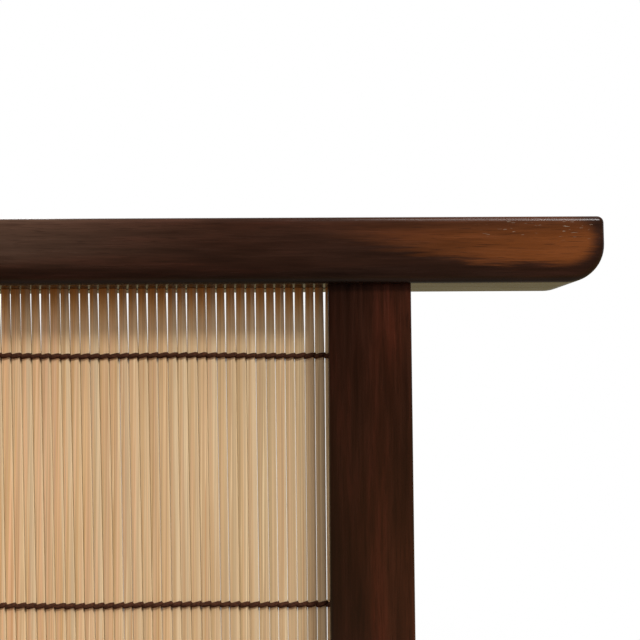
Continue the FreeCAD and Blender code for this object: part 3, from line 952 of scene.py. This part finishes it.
@dataclass
class Post:
    """Square upright with the blind's groove in its inner face."""

    side: Side
    edge_round: float = 1.2 * MM
    edge_facets: int = 4

    def build(self, finish: Material) -> None:
        """Models the post and dresses it.

        Args:
            finish: the post's material.
        """
        node = f"{self.side.word}_post"
        low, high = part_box(node)
        rail_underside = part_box("top_rail")[0].z
        piece = Bench.block(f"{self.side.word}_upright", low, Vector((high.x, high.y, rail_underside)))
        Bench.round_edges(piece, Bench.along(Axis.Z), self.edge_round, self.edge_facets)
        inner = low.x if self.side is Side.RIGHT else high.x
        floor = inner + self.side.value * GROOVE_DEPTH
        mouth = inner - self.side.value * GROOVE_MOUTH
        ends = (min(floor, mouth), max(floor, mouth))
        Bench.groove(piece, ends, (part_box("bamboo_sticks")[0].z, rail_underside + MM))
        Bench.smooth(piece)
        dress(piece, finish, "screen", [node])


@dataclass
class LowerRail:
    """Rail between the posts whose groove carries the feet of the sticks."""

    edge_round: float = 1.2 * MM
    edge_facets: int = 4

    def build(self, finish: Material) -> None:
        """Models the rail and dresses it.

        Args:
            finish: the rail's material.
        """
        low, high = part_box("lower_rail")
        left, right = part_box("left_post")[1].x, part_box("right_post")[0].x
        piece = Bench.block("sill_rail", Vector((left, low.y, low.z)), Vector((right, high.y, high.z)))
        Bench.round_edges(piece, Bench.along(Axis.X), self.edge_round, self.edge_facets)
        Bench.groove(piece, (left - MM, right + MM), (high.z - GROOVE_DEPTH, high.z + GROOVE_MOUTH))
        Bench.smooth(piece)
        dress(piece, finish, "screen", ["lower_rail"])


@dataclass
class BambooBlind:
    """Upright split-bamboo sticks and the rows of twined thread that hold them."""

    count: int = 148
    pitch: float = 3 * MM
    stick_thickness: float = 1.1 * MM
    flank: float = 0.42 * MM
    flank_facets: int = 2
    gap: float = 0.055 * MM
    gap_spread: float = 0.045 * MM
    gap_range: Span = (0.01 * MM, 0.18 * MM)
    side_gap: float = 0.07 * MM
    side_seams: tuple[int, int] = (2, 4)
    end_gap: float = 0.48 * MM
    end_spread: float = 0.13 * MM
    end_range: Span = (0.30 * MM, 0.85 * MM)
    cord_radius: float = 0.76 * MM
    cord_steps: int = 6
    cord_resolution: int = 1
    stick_angle: float = 50
    cord_angle: float = 60
    rows: int = 4
    lean: float = math.radians(2.2)
    lean_level: float = 270 * MM
    lean_turn: float = 0.24
    left_lean: float = -0.35
    seam_mm: Triple = (0.10, 0.16, 0.08)
    depth_spread: float = 0.10
    twist_spread: float = 0.04
    cord_sink: float = 0.42
    cord_cross: float = 0.36
    cord_bend: float = 2.0
    row_wander: float = 0.22 * MM
    row_waves: Triple = (0.011, 0.024, 0.053)
    chance: np.random.Generator = field(default_factory=lambda: np.random.default_rng(SEED))

    def drift(self, points: np.ndarray) -> np.ndarray:
        """How far the blind has slipped sideways, since its sticks lean a little between the posts.

        Args:
            points: places in the upright blind, one row each.

        Returns:
            The sideways shift of each place.
        """
        edge = self.count * self.pitch / 2
        turn = self.lean_turn * edge
        x = points[:, 0]
        right = np.sin(np.pi * np.clip((edge - x) / (edge + turn), 0, 1))
        left = self.left_lean * np.sin(np.pi * np.clip((-turn - x) / (edge - turn), 0, 1))
        return -np.tan(self.lean * (right + left)) * (points[:, 2] - self.lean_level)

    def row_level(self, row: int) -> float:
        """Height of a row of thread, counted from the top."""
        low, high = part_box(f"weave_thread_{row}")
        return (low.z + high.z) / 2

    def seam(self, number: np.ndarray, height: np.ndarray, way: int) -> np.ndarray:
        """Where a stick's side stands beside a seam that it shares with its neighbour.

        Args:
            number: the seam's number, from the left end of the blind.
            height: height on the stick, from -0.5 at its foot to 0.5.
            way: 1 for the stick on the seam's right, -1 for the one on its left.

        Returns:
            The side's X.
        """
        chance = np.random.default_rng(SEED)
        aside, tilt, bow, gap, loose = chance.normal(0, 1, (5, self.count + 1))
        apart, slant, curve = self.seam_mm
        rise = height[:, None]
        line = (aside * apart + tilt * slant * rise + bow * curve * (1 - 4 * rise ** 2)) * MM
        line = line[np.arange(len(number)), number]
        gap = (self.gap + gap * self.gap_spread).clip(*self.gap_range)
        from_side = np.minimum(np.arange(self.count + 1), np.arange(self.count, -1, -1))
        first, last = self.side_seams
        gap = gap + np.where((from_side >= first) & (from_side <= last), self.side_gap, 0)
        loose = (self.end_gap + loose * self.end_spread).clip(*self.end_range)
        low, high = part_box("bamboo_sticks")
        held = (self.row_level(1) - low.z) / (high.z - low.z) - 0.5
        flare = ((np.abs(height) - held) / (0.5 - held)).clip(0, 1)
        opening = gap[number] + loose[number] * flare
        return (number - self.count / 2) * self.pitch + line + way * opening / 2

    def build_sticks(self, finish: Material) -> None:
        """Models one stick, repeats it, and makes each a little different.

        Args:
            finish: the sticks' material.
        """
        low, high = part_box("bamboo_sticks")
        first = -(self.count - 1) / 2 * self.pitch
        half = Vector((self.pitch / 2, self.stick_thickness / 2, 0))
        piece = Bench.block(
            "blind_sticks", Vector((first, 0, low.z)) - half, Vector((first, 0, high.z)) + half
        )
        Bench.round_edges(piece, Bench.along(Axis.Z), self.flank, self.flank_facets)
        span = high.z - low.z
        for row in range(self.rows):
            Bench.slice_level(piece, self.row_level(row + 1))
        Bench.repeat(piece, self.count, Vector((self.pitch, 0, 0)))
        points = Bench.points(piece)
        sticks = np.repeat(np.arange(self.count), len(points) // self.count)
        across = (points[:, 0] - first - sticks * self.pitch) / half.x
        height = (points[:, 2] - low.z) / span - 0.5
        left, right = (self.seam(sticks + k, height, way) for k, way in ((0, 1), (1, -1)))
        deep = 1 + self.chance.uniform(-self.depth_spread, self.depth_spread, self.count)
        twist = self.chance.normal(0, self.twist_spread, self.count)
        points[:, 0] = (left + right) / 2 + across * (right - left) / 2
        points[:, 1] = points[:, 1] * deep[sticks] + twist[sticks] * across * half.x
        points[:, 0] += self.drift(points)
        Bench.set_points(piece, points)
        Bench.mark(piece, STICK_MARK, sticks + 0.5)
        Bench.mark(piece, SIDE_MARK, across)
        flat = 1 - self.flank / half.x
        Bench.mark(piece, FLANK_MARK, ((np.abs(across) - flat) / (1 - flat)).clip(0, 1))
        Bench.smooth(piece, self.stick_angle, keep_flats=False)
        dress(piece, finish, "screen", ["bamboo_sticks"])

    def cord(self, name: str, level: float, start_in_front: bool) -> Piece:
        """Lays one cord of a row, in front of one stick and behind the next.

        Args:
            name: the cord's name.
            level: height of its row.
            start_in_front: whether it passes in front of the first stick.

        Returns:
            The cord as a mesh tube.
        """
        reach = self.stick_thickness / 2 + self.cord_radius * self.cord_sink
        steps = np.arange(self.count * self.cord_steps + 1)
        turn = np.pi * (steps / self.cord_steps - 0.5) + (0 if start_in_front else np.pi)
        swing = np.cos(turn)
        x = (steps / self.cord_steps - self.count / 2) * self.pitch
        y = -reach * np.tanh(self.cord_bend * swing) / math.tanh(self.cord_bend)
        z = level + self.cord_radius * self.cord_cross * np.sin(turn)
        form = {"bevel_depth": self.cord_radius, "bevel_resolution": self.cord_resolution}
        places = np.column_stack((x, y, z))
        return Bench.trace(name, places, False, dimensions="3D", use_fill_caps=True, **form)

    def build_threads(self, finish: Material) -> None:
        """Twines the two cords of each row round the sticks.

        Args:
            finish: the threads' material.
        """
        for row in range(1, self.rows + 1):
            node = f"weave_thread_{row}"
            cords = [self.cord(f"cord_{row}_{k}", self.row_level(row), k == 0) for k in range(2)]
            piece = Bench.join(cords, f"twined_row_{row}")
            points = Bench.points(piece)
            wander = self.chance.uniform(0, 2 * np.pi, len(self.row_waves))
            points[:, 2] += self.row_wander * sum(
                np.sin(points[:, 0] / wave + phase) for wave, phase in zip(self.row_waves, wander)
            )
            points[:, 0] += self.drift(points)
            Bench.set_points(piece, points)
            Bench.smooth(piece, self.cord_angle, keep_flats=False)
            dress(piece, finish, "screen", [node])


@dataclass
class Foot:
    """Cross foot with rounded upper ends, bored for its pivot, on two felt pads."""

    side: Side
    end_round: float = 12.4 * MM
    end_facets: int = 12
    edge_round: float = 1.0 * MM
    edge_facets: int = 3
    bore: float = 6.2 * MM
    counterbore: float = 19 * MM
    counterbore_depth: float = 7 * MM
    slot_radius: float = 8 * MM
    slot_width: float = 3.6 * MM
    slot_depth: float = 4.3 * MM
    slot_facets: int = 12
    pads: int = 2
    pad_length: float = 26 * MM
    pad_corner: float = 3 * MM
    pad_facets: int = 5
    pad_edge: float = 0.6 * MM

    def cut_stop_slot(self, piece: Piece, axis: Vector, top: float) -> None:
        """Cuts the quarter slot in which the stop pin runs, with its round ends.

        Args:
            piece: the foot.
            axis: a point on the foot's pivot.
            top: height of the foot's upper face.
        """
        half = self.slot_width / 2
        way = -self.side.value
        turns = np.pi / 2 * (1 + way * np.linspace(0, 1, self.slot_facets + 1))
        bend = np.linspace(0, np.pi, self.slot_facets + 1)[1:-1]
        far_end, near_end = (
            self.slot_radius * np.exp(1j * turns[k]) + half * np.exp(1j * (turns[k] + way * (bend + back)))
            for k, back in ((-1, 0), (0, np.pi))
        )
        outer = (self.slot_radius + half) * np.exp(1j * turns)
        inner = (self.slot_radius - half) * np.exp(1j * turns[::-1])
        outline = np.concatenate((outer, far_end, inner, near_end))
        places = np.column_stack((outline.real, outline.imag, np.zeros(len(outline))))
        form = {"dimensions": "2D", "fill_mode": "BOTH", "extrude": self.slot_depth}
        cutter = Bench.trace("stop_slot", places, True, **form)
        cutter.location = (axis.x, axis.y, top)
        Bench.merge(Bench.settle(cutter, "stop_slot"))
        with Bench.picked(cutter, Pick.FACE, every):
            bpy.ops.mesh.normals_make_consistent(inside=False)
        Bench.cut(piece, cutter)

    def build(self, finish: Material) -> None:
        """Models the foot and dresses it.

        Args:
            finish: the foot's material.
        """
        node = f"{self.side.word}_foot"
        low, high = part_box(node)
        axis = (low + high) / 2
        piece = Bench.block(f"{self.side.word}_cross_foot", low, high)
        Bench.round_edges(
            piece,
            lambda middle, way: abs(way.x) > STRAIGHT and middle.z > high.z - MM,
            self.end_round,
            self.end_facets,
        )
        Bench.ease(piece, self.edge_round, self.edge_facets)
        seat = low.z + self.counterbore_depth
        Bench.cut(piece, Bench.drill("counterbore", axis, self.counterbore, low.z - MM, seat))
        Bench.cut(piece, Bench.drill("bore", axis, self.bore, low.z, high.z + MM))
        self.cut_stop_slot(piece, axis, high.z)
        Bench.merge(piece)
        Bench.smooth(piece)
        dress(piece, finish, node, [node])

    def build_pads(self, finish: Material) -> None:
        """Models the front felt pad, repeats it at the back and dresses both.

        Args:
            finish: the pads' material.
        """
        node = f"{self.side.word}_foot_pads"
        low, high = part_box(node)
        inward = Vector((high.x, low.y + self.pad_length, high.z))
        piece = Bench.block(f"{self.side.word}_felt", low, inward)
        Bench.round_edges(piece, Bench.along(Axis.Z), self.pad_corner, self.pad_facets)
        Bench.ease(piece, self.pad_edge, self.edge_facets)
        Bench.repeat(piece, self.pads, Vector((0, high.y - inward.y, 0)))
        Bench.smooth(piece)
        dress(piece, finish, f"{self.side.word}_foot", [node])


@dataclass
class PivotHardware:
    """Bolts, washers, inserts, discs and pins, whose solids stay and are refinished."""

    steel: PlainFinish = STEEL
    brass: PlainFinish = BRASS
    nylon: PlainFinish = NYLON

    def build(self) -> None:
        """Refinishes each solid."""
        finishes = {
            "pivot_bolt": self.steel.material(),
            "thread_insert": self.brass.material(),
            "slip_disc": self.nylon.material(),
        }
        finishes["bolt_washer"] = finishes["stop_pin"] = finishes["pivot_bolt"]
        for side in Side:
            for part, finish in finishes.items():
                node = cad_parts[f"{side.word}_{part}"]
                for slot in node.material_slots:
                    slot.material = finish
                LOG.info("%s: refinished", node.name)


@dataclass
class Studio:
    """Pale floor, soft lamps, white surroundings and the camera."""

    aim: Triple = (0.15, 0, 0.27)
    key_way: Triple = (0.72, -1.0, 1.22)
    key_far: float = 1.7
    key_size: float = 0.28
    key_watts: float = 18.9
    back_place: Triple = (-0.9, 1.5, 1.1)
    back_aim: Triple = (0, 0, 0.2)
    back_size: float = 1.0
    back_watts: float = 14.0
    over_place: Triple = (0.5, -0.5, 1.65)
    over_size: float = 0.35
    over_watts: float = 5.0
    white: Colour = (1, 1, 1)
    front_to_rear: Step = (-0.35, 0.25, 1.26, 0.30)
    low_to_high: Step = (0.0, 0.34, 0.36, 1.0)
    mirrored_light: Step = (-0.3, 0.4, 0.04, 0.45)
    floor_size: float = 12
    floor_cloud: Pattern = Pattern((3, 3, 3))
    floor_tones: Stops = ((0.3, (0.70, 0.69, 0.67)), (0.7, (0.76, 0.75, 0.73)))
    floor_roughness: Step = (0.3, 0.7, 0.8, 0.9)
    floor_specular: float = 0.1
    floor_glow: Step = (0.35, 0.95, 0.60, 1.0)
    mirrored_floor: Colour = (0.385, 0.310, 0.152)
    floor_bounce: Colour = (0.22, 0.125, 0.085)
    place: Triple = (0.21208, -0.26596, 0.30796)
    lens: float = 47.81
    sensor: float = 36
    clip: Span = (0.01, 50)
    pitch: float = math.radians(3.663)
    roll: float = math.radians(-0.361)
    yaw: float = math.radians(-0.542)

    def camera(self) -> None:
        """Sets the camera up at the photograph's angle."""
        data = bpy.data.cameras.new("camera")
        data.lens = self.lens
        data.sensor_width = self.sensor
        data.clip_start, data.clip_end = self.clip
        made = Bench.link("camera", data)
        turn = (
            Matrix.Rotation(self.yaw, 4, "Z")
            @ Matrix.Rotation(math.pi / 2 + self.pitch, 4, "X")
            @ Matrix.Rotation(self.roll, 4, "Z")
        )
        made.matrix_world = Matrix.Translation(self.place) @ turn
        bpy.context.scene.camera = made

    def lamp(self, name: str, place: Vector, aim: Vector, size: float, watts: float) -> None:
        """Hangs a square soft lamp.

        Args:
            name: the lamp's name.
            place: where it hangs.
            aim: the point that it faces.
            size: its side.
            watts: its power.
        """
        data = bpy.data.lights.new(name, "AREA")
        data.shape = "SQUARE"
        data.size = size
        data.energy = watts
        made = Bench.link(name, data)
        made.location = place
        made.rotation_euler = (aim - place).to_track_quat("-Z", "Y").to_euler()

    def lamps(self) -> None:
        """Hangs the key lamp at the front right, a weaker one behind and a small one overhead."""
        aim = Vector(self.aim)
        key_place = aim + Vector(self.key_way).normalized() * self.key_far
        self.lamp("key_lamp", key_place, aim, self.key_size, self.key_watts)
        back_place, back_aim = Vector(self.back_place), Vector(self.back_aim)
        self.lamp("back_lamp", back_place, back_aim, self.back_size, self.back_watts)
        self.lamp("over_lamp", Vector(self.over_place), aim, self.over_size, self.over_watts)

    def surroundings(self) -> None:
        """Makes the world white for the camera, and graded where it lights or is mirrored."""
        world = bpy.data.worlds.new("surroundings")
        bpy.context.scene.world = world
        world.use_nodes = True
        tree = NodeTree(world.node_tree)
        _, y, z = tree.axes(tree.add("TexCoord", {}).outputs["Generated"])
        camera, mirrored = tree.rays()
        lit, rise, shown = (
            tree.step(way, *step, kind="LINEAR")
            for way, step in ((y, self.front_to_rear), (z, self.low_to_high), (y, self.mirrored_light))
        )
        plain = tree.times(tree.minus(1.0, mirrored), tree.times(lit, rise))
        strength = tree.larger(camera, tree.plus(tree.times(mirrored, shown), plain))
        background = world.node_tree.nodes["Background"]
        tree.put(background.inputs["Strength"], strength)
        tree.put(background.inputs["Color"], self.white)

    def floor(self) -> None:
        """Lays the pale floor, white far away and with the screen's shadow near it."""
        piece = Bench.primitive(bpy.ops.mesh.primitive_plane_add, "floor", (1, 1, 1), size=self.floor_size)
        tree = FinishTree("pale_floor")
        far = tree.add("VectorMath", {0: tree.coords}, operation="LENGTH").outputs["Value"]
        cloud = tree.noise(self.floor_cloud)
        camera, mirrored = tree.rays()
        seen = tree.larger(camera, mirrored)
        tree.set(
            Base_Color=tree.mix(seen, self.floor_bounce, tree.ramp(cloud, self.floor_tones)),
            Roughness=tree.step(cloud, *self.floor_roughness),
            Specular_IOR_Level=self.floor_specular,
        )
        share = tree.times(seen, tree.step(far, *self.floor_glow))
        glow = tree.add("Emission", {"Color": tree.mix(mirrored, self.white, self.mirrored_floor)})
        blend = tree.add("MixShader", {0: share, 1: tree.surface.outputs[0], 2: glow.outputs[0]})
        tree.put(tree.output.inputs["Surface"], blend.outputs[0])
        piece.data.materials.append(tree.material)

    def build(self) -> None:
        """Sets the whole studio up."""
        bpy.context.scene.view_settings.view_transform = "Standard"
        self.camera()
        self.lamps()
        self.surroundings()
        self.floor()


def main() -> None:
    """Builds the screen's pieces in order, then the studio."""
    logging.basicConfig(level=logging.INFO, format="%(name)s: %(message)s")
    upright_wood = PostWood("stained_wood_upright", Axis.Z).material()
    cross_wood = StainedWood("stained_wood_foot", Axis.Y).material()
    level_wood = StainedWood("stained_wood_level", Axis.X).material()
    felt = FELT.material()
    TopRail().build(CapRailWood("stained_wood_cap", Axis.X).material())
    LowerRail().build(level_wood)
    for side in Side:
        Post(side).build(upright_wood)
        foot = Foot(side)
        foot.build(cross_wood)
        foot.build_pads(felt)
    blind = BambooBlind()
    blind.build_sticks(SplitBamboo().material())
    blind.build_threads(TwistedCotton().material())
    PivotHardware().build()
    Studio().build()


if __name__ == "__main__":
    main()
